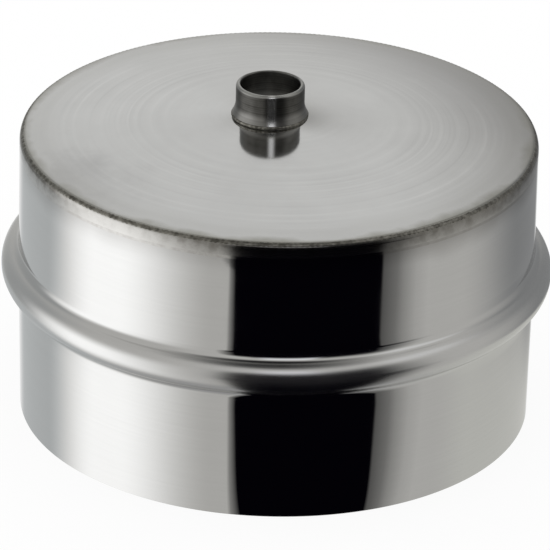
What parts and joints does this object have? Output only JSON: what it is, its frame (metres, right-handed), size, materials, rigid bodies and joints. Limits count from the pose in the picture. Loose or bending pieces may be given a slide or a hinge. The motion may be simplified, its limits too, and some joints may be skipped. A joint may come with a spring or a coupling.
{
  "type": "chimney cleanout cap",
  "caption": "Round welded sheet-steel end cap for a single-wall flue: open sleeve with a rolled stop bead, closed by a domed disc with a short drain spigot.",
  "frame": {"origin": "centre of the open end, in the plane that the cap stands on", "axes": "+Z along the sleeve's axis, from the open end to the end disc; the sleeve's lengthwise weld is at +Y"},
  "size_m": [0.1392, 0.1394, 0.0885],
  "materials": {
    "bright_sheet": "bright annealed stainless sheet, almost a mirror",
    "ringed_disc": "bright stainless sheet with faint turning rings",
    "turned_tube": "bright stainless tube, finely turned"
  },
  "bodies": {
    "root": {"cap_sleeve": "bright_sheet", "end_disc": "ringed_disc", "drain_spigot": "turned_tube"}
  },
  "joints": []
}
